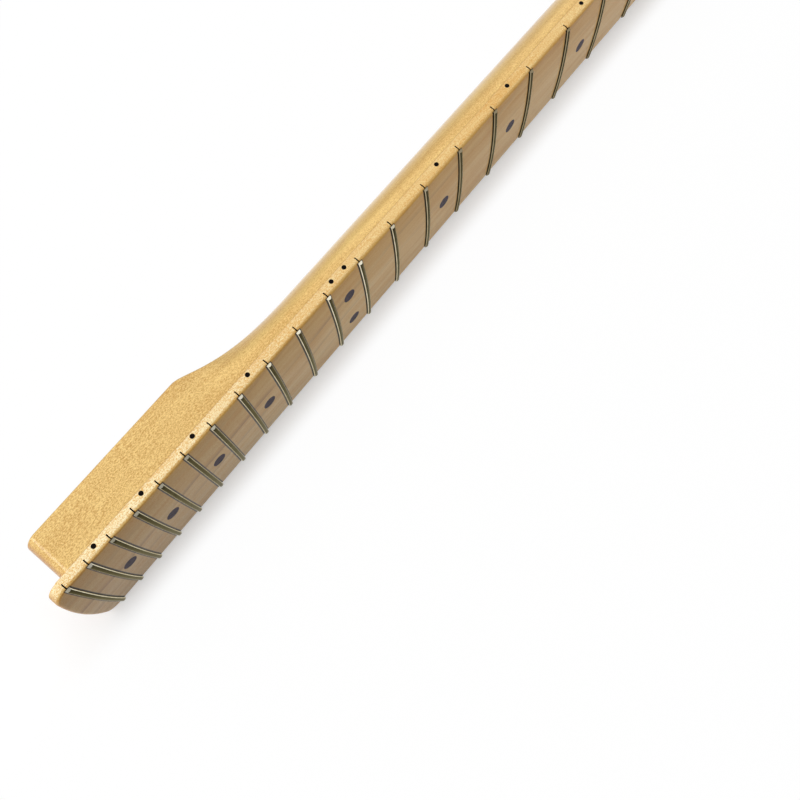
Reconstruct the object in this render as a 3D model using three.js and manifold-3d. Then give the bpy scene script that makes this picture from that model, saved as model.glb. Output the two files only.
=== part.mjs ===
// Bolt-on electric guitar neck: a maple neck with a separate maple fingerboard, frets, inlaid
// dots, a nut, a dark stripe let into the back and the truss rod that lies under the stripe.
//
// Millimetres, +Z up. The neck lies on its treble edge: +X runs from the heel to the headstock,
// -Y points out of the fingerboard and +Z is the bass side. The origin is on the flat back of
// the heel, on the centre line, where the middle of a body's neck plate comes.
import * as THREE from 'three';
import { mergeVertices } from 'three/addons/utils/BufferGeometryUtils.js';
import Module from 'manifold-3d';

const wasm = await Module();
wasm.setup();
const { lerp, clamp, smoothstep, degToRad } = THREE.MathUtils;

// Fingerboard: string length, widths and the curve of the playing surface
const scaleLength = 647.7;
const fretCount = 22;
const octaveCount = 12;
const nutWidth = 42;
const lastFretWidth = 56;
const boardRadius = 241.3;
const boardThickness = 6.2;
const boardOverhang = 7.4;
const boardEdgeEase = 0.8;

// Neck, with depths measured from the crown of the board to the back
const heelDepth = 25.4;
const heelPastLastFret = 1.55;
const heelFlat = 81.5;
const heelEdgeRadius = 1.2;
const sweepLength = 52;
const sweepDepthPower = 1.45;
const sweepSquarePower = 2.75;
const plateInset = 38;
const depthAtNut = 20.8;
const depthAtTwelfth = 21.9;
const endArcRadius = 158;
const endCornerRadius = 6.5;

// Headstock: a plain leaf with the tuner holes in line along its bass side
const headFaceDrop = 8;
const headThickness = 14.3;
const headEdgeRadius = 2;
const headBlendStart = 28;
const headBlendEnd = 10;
const coveRadius = 14;
const tunerCount = 6;
const tunerHoleRadius = 5;
const tunerSpacing = 24.5;
const tunerEdge = 12.8;
const firstTunerSetback = 40;
const tipPastLastTuner = 23.5;
const firstTunerHeight = 20.5;
const lastTunerHeight = -7;
const tipHeight = -9;

// Where the headstock's sides bend, as shares of the run that each curve shapes
const flareBendShare = 0.45;
const bassNoseShare = 0.6;
const swellStartShare = 0.16;
const swellEndShare = 0.26;
const widestShare = 0.46;
const widestEndShare = 0.86;
const trebleNoseShare = 0.8;
const noseCapShare = 0.97;

// Nut
const nutThickness = 3.3;
const nutBelowBoard = 3;
const nutAboveBoard = 1.7;
const nutLedge = 3;
const nutTopFallShare = 0.35;
const stringSpread = 35;
const stringCount = 6;
const thickestSlotRadius = 0.65;
const thinnestSlotRadius = 0.35;

// Frets
const crownWidth = 2.1;
const crownHeight = 1;
const tangThickness = 0.55;
const tangDepth = 2.6;
const fretEndLean = degToRad(33);

// Position dots, in the face of the board and in its bass edge, by frets counted from the nut
const singleDotCounts = [3, 5, 7, 9, 15, 17, 19, 21];
const doubleDotCount = 12;
const faceDotRadius = 3.15;
const faceDotDepth = 2;
const faceDotPairSpread = 22.4;
const sideDotRadius = 1;
const sideDotDepth = 3;
const sideDotBelowEdge = 3.2;
const sideDotPairSpread = 7.8;

// Stripe in the back
const stripeWidth = 6.7;
const stripeNutSetback = 57.5;
const stripeHeelSetback = 59.5;

// Truss rod and the pieces that hold it
const rodRadius = 2.38;
const rodDepthAtEnds = 11.8;
const rodDepthInMiddle = 15;
const anchorLength = 8;
const anchorWidth = 6.2;
const anchorHeight = 9;
const anchorInset = 6;
const adjusterRadius = 4;
const adjusterLength = 12;
const hexAcrossFlats = 4.2;
const hexDepth = 6;
const washerRadius = 4.3;
const washerThickness = 1;
const pocketRadius = 4.6;
const pocketSetback = 8;
const keyGrooveReach = 40;

// Clearances
const slotGap = 0.12;
const seatGap = 0.1;
const rodGap = 0.25;
const threadGap = 0.1;
const cutOverrun = 5;

// How finely round shapes are drawn, the undotted frets at which the board has a section, and
// half the width of the flat that closes a rounded end
const roundSteps = 24;
const coveSteps = 60;
const dotSteps = 12;
const rodSteps = 5;
const hexSideCount = 6;
const headCurveSteps = 48;
const rodPathSteps = 36;
const boardArcSteps = 10;
const boardSectionCounts = [18, 14, 10, 6];
const endCapHalf = 4;

// Finishes
function finish(color, roughness, metalness) {
  return new THREE.MeshStandardMaterial({ color, roughness, metalness });
}

const neckMaple = finish(0xe0b878, 0.25, 0);
const boardMaple = finish(0xe8c890, 0.3, 0);
const darkWood = finish(0x2c0d0c, 0.3, 0);
const nickelSilver = finish(0xb4b4a4, 0.25, 1);
const faceDotPlastic = finish(0x4b474f, 0.4, 0);
const sideDotPlastic = finish(0x141214, 0.4, 0);
const bone = finish(0xe6dfcc, 0.4, 0);
const steel = finish(0x8c8f92, 0.35, 1);

// Places along the neck are counted from the nut towards the heel, as a maker counts them.
// Depths are counted from the crown of the board towards the back.
const fretFromNut = (n) => scaleLength * (1 - 2 ** (-n / octaveCount));
const betweenFrets = (n) => (fretFromNut(n) + fretFromNut(n - 1)) / 2;
const heelReach = fretFromNut(fretCount) + heelPastLastFret;
const nutX = heelReach - plateInset;
const along = (fromNut) => nutX - fromNut;
const below = (depth) => depth - heelDepth;
const taper = (lastFretWidth - nutWidth) / 2 / fretFromNut(fretCount);
const halfWidth = (fromNut) => nutWidth / 2 + taper * fromNut;
const boardDrop = (z) => boardRadius - Math.sqrt(boardRadius ** 2 - z ** 2);
const boardReach = heelReach + boardOverhang;
const headLength = firstTunerSetback + tunerSpacing * (tunerCount - 1) + tipPastLastTuner;
const boardUnderside = below(boardThickness);
const headFace = below(headFaceDrop);
const headBack = below(headFaceDrop + headThickness);

// Solids

// A three.js geometry as a solid that can be cut and joined
function solid(geometry) {
  const bare = geometry.clone();
  bare.deleteAttribute('normal');
  bare.deleteAttribute('uv');
  const merged = mergeVertices(bare);
  const vertProperties = new Float32Array(merged.attributes.position.array);
  const triVerts = new Uint32Array(merged.index.array);
  return new wasm.Manifold(new wasm.Mesh({ numProp: 3, vertProperties, triVerts }));
}

function geometryOf(body) {
  const { vertProperties, triVerts } = body.getMesh();
  const geometry = new THREE.BufferGeometry();
  geometry.setAttribute('position', new THREE.BufferAttribute(vertProperties, 3));
  geometry.setIndex(new THREE.BufferAttribute(triVerts, 1));
  return geometry;
}

// A solid skinned over cross-sections that follow each other along one axis. Each is a closed
// loop with the same number of points, clockwise when seen from the last one. facing gives the
// two coordinates in which that axis points at the viewer.
function loft(rings, facing) {
  const count = rings[0].length;
  const index = [];
  for (let r = 0; r + 1 < rings.length; r += 1) {
    for (let i = 0; i < count; i += 1) {
      const a = r * count + i;
      const b = r * count + ((i + 1) % count);
      index.push(a, b + count, b, a, a + count, b + count);
    }
  }
  const lid = (ring) => {
    const faces = THREE.ShapeUtils.triangulateShape(rings[ring].map(facing), []);
    return faces.map((face) => face.map((i) => ring * count + i));
  };
  lid(0).forEach(([a, b, c]) => index.push(c, b, a));
  lid(rings.length - 1).forEach((face) => index.push(...face));
  const geometry = new THREE.BufferGeometry().setFromPoints(rings.flat());
  geometry.setIndex(index);
  return solid(geometry);
}

const facingX = (p) => new THREE.Vector2(p.y, p.z);
const facingZ = (p) => new THREE.Vector2(p.x, p.y);

function block([x0, y0, z0], [x1, y1, z1]) {
  const box = new THREE.BoxGeometry(Math.abs(x1 - x0), Math.abs(y1 - y0), Math.abs(z1 - z0));
  return solid(box.translate((x0 + x1) / 2, (y0 + y1) / 2, (z0 + z1) / 2));
}

function barAlongX(radius, from, to, y, z, steps) {
  const bar = new THREE.CylinderGeometry(radius, radius, Math.abs(to - from), steps);
  return solid(bar.rotateZ(Math.PI / 2).translate((from + to) / 2, y, z));
}

function barAlongY(radius, from, to, x, z, steps) {
  const bar = new THREE.CylinderGeometry(radius, radius, Math.abs(to - from), steps);
  return solid(bar.translate(x, (from + to) / 2, z));
}

function barAlongZ(radius, from, to, x, y, steps) {
  const bar = new THREE.CylinderGeometry(radius, radius, Math.abs(to - from), steps);
  return solid(bar.rotateX(Math.PI / 2).translate(x, y, (from + to) / 2));
}

// An outline in X and Y, carried across the neck
function slab(outline, width) {
  const shape = new THREE.Shape(outline.map(([x, y]) => new THREE.Vector2(x, y)));
  const extruded = new THREE.ExtrudeGeometry(shape, { depth: width, bevelEnabled: false });
  return solid(extruded.translate(0, 0, -width / 2));
}

const group = new THREE.Group();

function add(name, body, material) {
  const mesh = new THREE.Mesh(geometryOf(body), material);
  mesh.name = name;
  group.add(mesh);
}

// Outlines seen from the back

// The square end of the heel and of the board: rounded corners and a shallow arc across. Each
// stop is a distance from the nut and the half width there, from the end inwards.
function endStops(reach) {
  const cornerSteps = 5;
  const arcSteps = 5;
  const side = halfWidth(reach - endCornerRadius) - endCornerRadius;
  const arcCentre = reach - endArcRadius;
  const lean = Math.asin(side / (endArcRadius - endCornerRadius));
  const cornerCentre = arcCentre + (endArcRadius - endCornerRadius) * Math.cos(lean);
  const cornerHalf = side + endCornerRadius * Math.sin(lean);
  const stops = [];
  for (let i = 0; i < arcSteps; i += 1) {
    const half = lerp(endCapHalf, cornerHalf, i / arcSteps);
    stops.push([arcCentre + Math.sqrt(endArcRadius ** 2 - half ** 2), half]);
  }
  for (let i = 0; i <= cornerSteps; i += 1) {
    const turn = lerp(Math.PI / 2 - lean, 0, i / cornerSteps);
    const reachThere = cornerCentre + endCornerRadius * Math.sin(turn);
    stops.push([reachThere, side + endCornerRadius * Math.cos(turn)]);
  }
  return stops;
}

// Middle of a tuner hole, as the distance past the nut and the height above the centre line
function tunerHole(i) {
  const height = lerp(firstTunerHeight, lastTunerHeight, i / (tunerCount - 1));
  return new THREE.Vector2(firstTunerSetback + tunerSpacing * i, height);
}

// The headstock's two sides, from the nut to the tip. The bass side flares out to a straight
// edge along the tuners. The treble side swells as far as the board is wide, so that the neck
// lies level on both. Control points are shares of the runs that they shape.
function headSides() {
  const start = nutWidth / 2;
  const swell = halfWidth(boardReach - endCornerRadius);
  const tunerRun = tunerHole(tunerCount - 1).sub(tunerHole(0)).normalize();
  const outwards = new THREE.Vector2(-tunerRun.y, tunerRun.x);
  const onEdge = (i) => tunerHole(i).addScaledVector(outwards, tunerEdge);
  const edgeStart = onEdge(0);
  const edgeEnd = onEdge(tunerCount - 1);
  const tip = new THREE.Vector2(headLength, tipHeight);
  const noseRun = headLength - edgeEnd.x;
  const point = (x, z) => new THREE.Vector2(x, z);
  const flare = new THREE.CubicBezierCurve(
    point(0, start),
    point(edgeStart.x * flareBendShare, start),
    edgeStart.clone().addScaledVector(tunerRun, -edgeStart.x * flareBendShare),
    edgeStart,
  );
  const bassNose = new THREE.CubicBezierCurve(
    edgeEnd,
    edgeEnd.clone().addScaledVector(tunerRun, noseRun * bassNoseShare),
    point(headLength, lerp(tipHeight, edgeEnd.y, bassNoseShare)),
    tip,
  );
  const swellIn = new THREE.CubicBezierCurve(
    point(0, -start),
    point(headLength * swellStartShare, -start),
    point(headLength * swellEndShare, -swell),
    point(headLength * widestShare, -swell),
  );
  const trebleNose = new THREE.CubicBezierCurve(
    point(headLength * widestShare, -swell),
    point(headLength * widestEndShare, -swell),
    point(headLength, lerp(tipHeight, -swell, trebleNoseShare)),
    tip,
  );
  const points = (curve) => curve.getPoints(headCurveSteps);
  return {
    bass: [...points(flare), ...points(bassNose)],
    treble: [...points(swellIn), ...points(trebleNose).slice(1)],
    nose: bassNose,
  };
}

// Height of a side at a distance past the nut
function sideHeight(side, pastNut) {
  const next = Math.max(1, side.findIndex((p) => p.x >= pastNut));
  const [p, q] = [side[next - 1], side[next]];
  return lerp(p.y, q.y, (pastNut - p.x) / (q.x - p.x));
}

// Neck

// Reach of the two cross-section shapes, from the middle of the flat top, in one direction:
// the round C of the playing part, and the square of the heel and the headstock
function roundReach(turn, half, depth) {
  return 1 / Math.hypot(Math.cos(turn) / half, Math.sin(turn) / depth);
}

function squareReach(turn, half, depth, edge) {
  const across = Math.cos(turn);
  const down = Math.sin(turn);
  if (down * half <= across * (depth - edge)) return half / across;
  if (across * depth <= down * (half - edge)) return depth / down;
  const towards = across * (half - edge) + down * (depth - edge);
  return towards + Math.sqrt(towards ** 2 - (half - edge) ** 2 - (depth - edge) ** 2 + edge ** 2);
}

// Directions from the side to the middle of the back, closest together round the edge
function quarterTurns(half, depth, edge) {
  const sideSteps = 3;
  const edgeSteps = 3;
  const backSteps = 6;
  const edgeStart = Math.atan2(depth - edge, half);
  const edgeEnd = Math.atan2(depth, half - edge);
  const spread = (from, to, steps) => Array.from({ length: steps }, (_, i) => lerp(from, to, i / steps));
  return [
    ...spread(0, edgeStart, sideSteps),
    ...spread(edgeStart, edgeEnd, edgeSteps),
    ...spread(edgeEnd, Math.PI / 2, backSteps),
  ];
}

// One cross-section of the neck wood, under the board. squareness runs from 0, round, to 1.
function neckRing({ fromNut, half, middle, depth, squareness, edge }) {
  const rim = Math.min(edge, half / 2);
  const quarter = quarterTurns(half, depth, rim).map((turn) => {
    const round = roundReach(turn, half, depth);
    const square = squareReach(turn, half, depth, rim);
    const reach = lerp(round, square, squareness);
    return [reach * Math.cos(turn), reach * Math.sin(turn)];
  });
  const place = (out, down) => new THREE.Vector3(along(fromNut), boardUnderside + down, middle + out);
  const bassSide = quarter.map(([out, down]) => place(out, down));
  const trebleSide = quarter.map(([out, down]) => place(-out, down));
  return [...bassSide, place(0, depth), ...trebleSide.reverse()];
}

// The playing part is a round C that deepens towards the heel
const shaftDepth = (fromNut) => {
  const slope = (depthAtTwelfth - depthAtNut) / fretFromNut(doubleDotCount);
  return depthAtNut + slope * fromNut - boardThickness;
};

function heelRings() {
  const depth = heelDepth - boardThickness;
  const square = { middle: 0, depth, squareness: 1, edge: heelEdgeRadius };
  const rings = endStops(heelReach).map(([fromNut, half]) => neckRing({ fromNut, half, ...square }));
  const sweepStart = heelReach - heelFlat;
  const sweepSteps = 14;
  for (let i = 0; i <= sweepSteps; i += 1) {
    const left = 1 - i / sweepSteps;
    const fromNut = sweepStart - sweepLength * (1 - left);
    rings.push(neckRing({
      fromNut,
      half: halfWidth(fromNut),
      middle: 0,
      depth: lerp(shaftDepth(fromNut), depth, left ** sweepDepthPower),
      squareness: left ** sweepSquarePower,
      edge: heelEdgeRadius,
    }));
  }
  return rings;
}

function shaftRings() {
  const from = heelReach - heelFlat - sweepLength;
  const steps = 12;
  const round = { middle: 0, squareness: 0, edge: headEdgeRadius };
  return Array.from({ length: steps - 1 }, (_, i) => {
    const fromNut = lerp(from, headBlendStart, (i + 1) / steps);
    return neckRing({ fromNut, half: halfWidth(fromNut), depth: shaftDepth(fromNut), ...round });
  });
}

function headRings() {
  const { bass, treble, nose } = headSides();
  const slabDepth = headBack - boardUnderside;
  const ring = (pastNut) => {
    const blend = smoothstep(pastNut, -headBlendStart, headBlendEnd);
    const top = pastNut > 0 ? sideHeight(bass, pastNut) : halfWidth(-pastNut);
    const bottom = pastNut > 0 ? sideHeight(treble, pastNut) : -halfWidth(-pastNut);
    return neckRing({
      fromNut: -pastNut,
      half: (top - bottom) / 2,
      middle: (top + bottom) / 2,
      depth: lerp(shaftDepth(-pastNut), slabDepth, blend),
      squareness: blend,
      edge: headEdgeRadius,
    });
  };
  const blendSteps = 10;
  const flareSteps = 6;
  const edgeSteps = 6;
  const noseSteps = 8;
  const stops = [];
  const spread = (from, to, steps) => {
    for (let i = 0; i < steps; i += 1) stops.push(lerp(from, to, i / steps));
  };
  const flareEnd = firstTunerSetback;
  const edgeEnd = nose.getPoint(0).x;
  spread(-headBlendStart, headBlendEnd, blendSteps);
  spread(headBlendEnd, flareEnd, flareSteps);
  spread(flareEnd, edgeEnd, edgeSteps);
  for (let i = 0; i <= noseSteps; i += 1) stops.push(nose.getPoint((i / noseSteps) * noseCapShare).x);
  return stops.map(ring);
}

const neckBlank = loft([...heelRings(), ...shaftRings(), ...headRings()], facingX);

// The step down from the board to the headstock's face is one round cut across both
const coveReach = Math.sqrt(coveRadius ** 2 - (coveRadius - headFaceDrop) ** 2);
const coveCentre = nutThickness + nutLedge + coveReach;
const coveX = along(-coveCentre);
const headHalfReach = headLength / 2;
const coveCut = barAlongZ(
  coveRadius, -headHalfReach, headHalfReach, coveX, below(headFaceDrop - coveRadius), coveSteps,
).add(block(
  [coveX, headFace, -headHalfReach],
  [along(-headLength - cutOverrun), below(-cutOverrun), headHalfReach],
));

// Truss rod

const stripeEnd = heelReach - stripeHeelSetback;
const anchorEnd = stripeEnd - anchorInset;
const anchorStart = anchorEnd - anchorLength;

// The rod runs straight at both ends and dips towards the back in the middle of its channel
function rodDepth(fromNut) {
  const share = clamp((fromNut - stripeNutSetback) / (anchorStart - stripeNutSetback), 0, 1);
  return lerp(rodDepthAtEnds, rodDepthInMiddle, (1 - Math.cos(2 * Math.PI * share)) / 2);
}

class RodLine extends THREE.Curve {
  constructor(from, to) {
    super();
    this.from = from;
    this.to = to;
  }

  getPoint(t, target = new THREE.Vector3()) {
    const fromNut = lerp(this.from, this.to, t);
    return target.set(along(fromNut), below(rodDepth(fromNut)), 0);
  }
}

const washerStart = pocketSetback - seatGap;
const adjusterStart = washerStart - washerThickness - seatGap;
const adjusterEnd = adjusterStart - adjusterLength;
const rodStart = adjusterEnd + hexDepth + threadGap;

function trussRod() {
  const circle = new THREE.Shape().absarc(0, 0, rodRadius, 0, 2 * Math.PI);
  const extrudePath = new RodLine(rodStart, anchorEnd);
  const settings = { steps: rodPathSteps, curveSegments: rodSteps, extrudePath };
  return solid(new THREE.ExtrudeGeometry(circle, settings));
}

function rodBore(radius, from, to) {
  return barAlongX(radius, along(from), along(to), below(rodDepthAtEnds), 0, roundSteps);
}

function rodAnchor() {
  const half = anchorHeight / 2;
  const body = block(
    [along(anchorEnd), below(rodDepthAtEnds - half), -anchorWidth / 2],
    [along(anchorStart), below(rodDepthAtEnds + half), anchorWidth / 2],
  );
  return body.subtract(rodBore(rodRadius + threadGap, anchorStart - cutOverrun, anchorEnd + cutOverrun));
}

function anchorPocket() {
  const half = anchorHeight / 2 + rodGap;
  return block(
    [along(anchorEnd + rodGap), below(rodDepthAtEnds - half), -anchorWidth / 2 - slotGap],
    [along(anchorStart - rodGap), below(rodDepthAtEnds + half), anchorWidth / 2 + slotGap],
  );
}

function rodWasher() {
  const disc = rodBore(washerRadius, washerStart, washerStart - washerThickness);
  return disc.subtract(rodBore(rodRadius + threadGap, washerStart + cutOverrun, -cutOverrun));
}

// The adjusting nut is threaded on the rod at one end and takes a hex key at the other
function adjustingNut() {
  const barrel = rodBore(adjusterRadius, adjusterStart, adjusterEnd);
  const thread = rodBore(rodRadius + threadGap, adjusterStart + cutOverrun, rodStart);
  const hexRadius = hexAcrossFlats / Math.sqrt(3);
  const y = below(rodDepthAtEnds);
  const socket = barAlongX(hexRadius, along(rodStart), along(adjusterEnd - cutOverrun), y, 0, hexSideCount);
  return barrel.subtract(thread).subtract(socket);
}

// The pocket for the adjusting nut opens into a round-ended groove in the headstock's face
function adjusterPocket() {
  const grooveEnd = -keyGrooveReach + pocketRadius;
  const axis = below(rodDepthAtEnds);
  const ball = new THREE.SphereGeometry(pocketRadius, roundSteps, roundSteps / 2);
  const grooveX = along(grooveEnd);
  return rodBore(pocketRadius, pocketSetback, grooveEnd)
    .add(solid(ball.translate(grooveX, axis, 0)))
    .add(barAlongY(pocketRadius, axis, below(-cutOverrun), grooveX, 0, roundSteps))
    .add(block([coveX, axis, -pocketRadius], [grooveX, below(-cutOverrun), pocketRadius]));
}

// Stripe and its channel

// Round-ended plan of the stripe, from deep in the neck to clear of its back
function stripePlan(gap) {
  const radius = stripeWidth / 2 + gap;
  const from = along(stripeNutSetback + stripeWidth / 2);
  const to = along(stripeEnd - stripeWidth / 2);
  const top = below(0);
  const bottom = below(heelDepth + cutOverrun);
  return block([from, top, -radius], [to, bottom, radius])
    .add(barAlongY(radius, top, bottom, from, 0, roundSteps))
    .add(barAlongY(radius, top, bottom, to, 0, roundSteps));
}

// A slab across the neck between two depths that follow the rod
function followRod(from, to, nearDepth, farDepth, width) {
  const stops = Array.from({ length: rodPathSteps + 1 }, (_, i) => lerp(from, to, i / rodPathSteps));
  const near = stops.map((fromNut) => [along(fromNut), below(nearDepth(fromNut))]);
  const far = stops.map((fromNut) => [along(fromNut), below(farDepth(fromNut))]);
  return slab([...near, ...far.reverse()], width);
}

const clearOfBack = () => heelDepth + cutOverrun;
const stripeFloor = (fromNut) => rodDepth(fromNut) + rodRadius + rodGap;
const stripeCutFrom = stripeNutSetback - cutOverrun;
const stripeCutTo = stripeEnd + cutOverrun;
const stripeSlot = stripePlan(slotGap)
  .intersect(followRod(stripeCutFrom, stripeCutTo, stripeFloor, clearOfBack, stripeWidth + cutOverrun));

function rodChannel() {
  const near = (fromNut) => rodDepth(fromNut) - rodRadius - rodGap;
  const far = (fromNut) => stripeFloor(fromNut) + slotGap;
  const width = 2 * (rodRadius + rodGap);
  return followRod(stripeNutSetback + stripeWidth, anchorStart, near, far, width);
}

function backStripe() {
  const underside = (fromNut) => stripeFloor(fromNut) + seatGap;
  return stripePlan(0)
    .intersect(followRod(stripeCutFrom, stripeCutTo, underside, clearOfBack, stripeWidth + cutOverrun))
    .subtract(anchorPocket())
    .intersect(neckBlank);
}

function neck() {
  const drilled = rodBore(rodRadius + rodGap, pocketSetback - cutOverrun, stripeNutSetback + 2 * stripeWidth);
  let wood = neckBlank
    .subtract(coveCut)
    .subtract(stripeSlot)
    .subtract(rodChannel())
    .subtract(anchorPocket())
    .subtract(drilled)
    .subtract(adjusterPocket());
  for (let i = 0; i < tunerCount; i += 1) {
    const hole = tunerHole(i);
    const from = headFace - cutOverrun;
    const to = headBack + cutOverrun;
    wood = wood.subtract(barAlongY(tunerHoleRadius, from, to, along(-hole.x), hole.y, roundSteps));
  }
  return wood;
}

// Fingerboard

function boardRing(fromNut, half) {
  const ease = Math.min(boardEdgeEase, half / 2);
  const place = (depth, z) => new THREE.Vector3(along(fromNut), below(depth), z);
  const crown = half - ease;
  const arc = [];
  for (let i = 0; i <= boardArcSteps; i += 1) {
    const z = lerp(-crown, crown, i / boardArcSteps);
    arc.push(place(boardDrop(z), z));
  }
  const shoulder = boardDrop(half) + ease;
  return [
    place(shoulder, half),
    place(boardThickness, half),
    place(boardThickness, -half),
    place(shoulder, -half),
    ...arc,
  ];
}

function boardBlank() {
  const ends = endStops(boardReach).map(([fromNut, half]) => boardRing(fromNut, half));
  const stops = [...boardSectionCounts.map(betweenFrets), -coveCentre];
  const rest = stops.map((fromNut) => boardRing(fromNut, halfWidth(fromNut)));
  return loft([...ends, ...rest], facingX);
}

function fretSlot(n) {
  const fromNut = fretFromNut(n);
  const half = halfWidth(fromNut);
  const gap = tangThickness / 2 + slotGap;
  const floor = boardDrop(half) + tangDepth + seatGap;
  return block(
    [along(fromNut) - gap, below(-cutOverrun), -half - cutOverrun],
    [along(fromNut) + gap, below(floor), half + cutOverrun],
  );
}

function nutSlot() {
  const half = halfWidth(0) + cutOverrun;
  const headSide = along(-nutThickness - slotGap);
  return block([along(0), below(-cutOverrun), -half], [headSide, below(nutBelowBoard), half]);
}

// A disc let into the face, square to the curve of the board
function faceDisc(fromNut, z, radius, depth, proud) {
  const disc = new THREE.CylinderGeometry(radius, radius, depth + proud, dotSteps);
  disc.translate(0, (depth - proud) / 2, 0).rotateX(-Math.asin(z / boardRadius));
  return solid(disc.translate(along(fromNut), below(boardDrop(z)), z));
}

function sideDisc(fromNut, radius, depth, proud) {
  const half = halfWidth(fromNut);
  const y = below(boardDrop(half) + sideDotBelowEdge);
  return barAlongZ(radius, half - depth, half + proud, along(fromNut), y, dotSteps);
}

// Every dot: the fret that it marks, and its place across or along the board
const twoDigits = (n) => String(n).padStart(2, '0');
const doubleDotMark = `_dot_${doubleDotCount}_`;

function faceDots() {
  const half = faceDotPairSpread / 2;
  return [
    ...singleDotCounts.map((n) => ({ name: `face_dot_${twoDigits(n)}`, n, z: 0 })),
    { name: `face${doubleDotMark}bass`, n: doubleDotCount, z: half },
    { name: `face${doubleDotMark}treble`, n: doubleDotCount, z: -half },
  ];
}

function sideDots() {
  const half = sideDotPairSpread / 2;
  return [
    ...singleDotCounts.map((n) => ({ name: `side_dot_${twoDigits(n)}`, n, shift: 0 })),
    { name: `side${doubleDotMark}heel`, n: doubleDotCount, shift: half },
    { name: `side${doubleDotMark}head`, n: doubleDotCount, shift: -half },
  ];
}

function fingerboard() {
  let board = boardBlank().subtract(coveCut).subtract(nutSlot());
  for (let n = 1; n <= fretCount; n += 1) board = board.subtract(fretSlot(n));
  for (const { n, z } of faceDots()) {
    const radius = faceDotRadius + slotGap;
    board = board.subtract(faceDisc(betweenFrets(n), z, radius, faceDotDepth + seatGap, cutOverrun));
  }
  for (const { n, shift } of sideDots()) {
    const place = betweenFrets(n) + shift;
    board = board.subtract(sideDisc(place, sideDotRadius + slotGap, sideDotDepth + seatGap, cutOverrun));
  }
  return board;
}

// Fret: a rounded crown on a thin tang, bent to the curve of the board, with leaning ends
function fret(n) {
  const crownSteps = 6;
  const acrossSteps = 6;
  const fromNut = fretFromNut(n);
  const half = halfWidth(fromNut);
  const profile = [[-tangThickness / 2, seatGap], [-tangThickness / 2, -tangDepth]];
  profile.push([tangThickness / 2, -tangDepth], [tangThickness / 2, seatGap]);
  for (let i = 0; i <= crownSteps; i += 1) {
    const turn = Math.PI * (i / crownSteps);
    const lift = seatGap + (crownHeight - seatGap) * Math.sin(turn);
    profile.push([(crownWidth / 2) * Math.cos(turn), lift]);
  }
  const rows = [];
  for (let i = 0; i <= acrossSteps; i += 1) {
    rows.push(profile.map(([x, lift]) => {
      const reach = half - Math.max(lift, 0) * Math.tan(fretEndLean);
      const z = lerp(-reach, reach, i / acrossSteps);
      return new THREE.Vector3(along(fromNut) + x, below(boardDrop(z) - lift), z);
    }));
  }
  return loft(rows, facingZ);
}

// Nut: a bone bar with a rounded top that follows the board, and a slot for each string
function nut() {
  const acrossSteps = 8;
  const topSteps = 4;
  const half = halfWidth(0);
  const width = nutThickness - slotGap;
  const rows = [];
  for (let i = 0; i <= acrossSteps; i += 1) {
    const z = lerp(-half, half, i / acrossSteps);
    const row = [[0, nutBelowBoard - seatGap], [width, nutBelowBoard - seatGap]];
    for (let k = 0; k <= topSteps; k += 1) {
      const share = 1 - k / topSteps;
      row.push([width * share, boardDrop(z) - nutAboveBoard * (1 - nutTopFallShare * share ** 2)]);
    }
    rows.push(row.map(([x, depth]) => new THREE.Vector3(along(0) + slotGap / 2 + x, below(depth), z)));
  }
  let bar = loft(rows, facingZ);
  const slotEnd = along(-nutThickness - cutOverrun);
  for (let i = 0; i < stringCount; i += 1) {
    const share = i / (stringCount - 1);
    const z = lerp(stringSpread / 2, -stringSpread / 2, share);
    const radius = lerp(thickestSlotRadius, thinnestSlotRadius, share);
    const y = below(boardDrop(z) - nutAboveBoard);
    bar = bar.subtract(barAlongX(radius, along(cutOverrun), slotEnd, y, z, dotSteps));
  }
  return bar;
}

// Assembly

add('neck', neck(), neckMaple);
add('fingerboard', fingerboard(), boardMaple);
add('nut', nut(), bone);
for (let n = 1; n <= fretCount; n += 1) add(`fret_${twoDigits(n)}`, fret(n), nickelSilver);
for (const { name, n, z } of faceDots()) {
  add(name, faceDisc(betweenFrets(n), z, faceDotRadius, faceDotDepth, 0), faceDotPlastic);
}
for (const { name, n, shift } of sideDots()) {
  add(name, sideDisc(betweenFrets(n) + shift, sideDotRadius, sideDotDepth, 0), sideDotPlastic);
}
add('back_stripe', backStripe(), darkWood);
add('truss_rod', trussRod(), steel);
add('rod_anchor', rodAnchor(), steel);
add('rod_washer', rodWasher(), steel);
add('adjusting_nut', adjustingNut(), steel);

export default group;
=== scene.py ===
import math
from functools import partial

import bmesh
import bpy
from mathutils import Matrix, Vector


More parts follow.
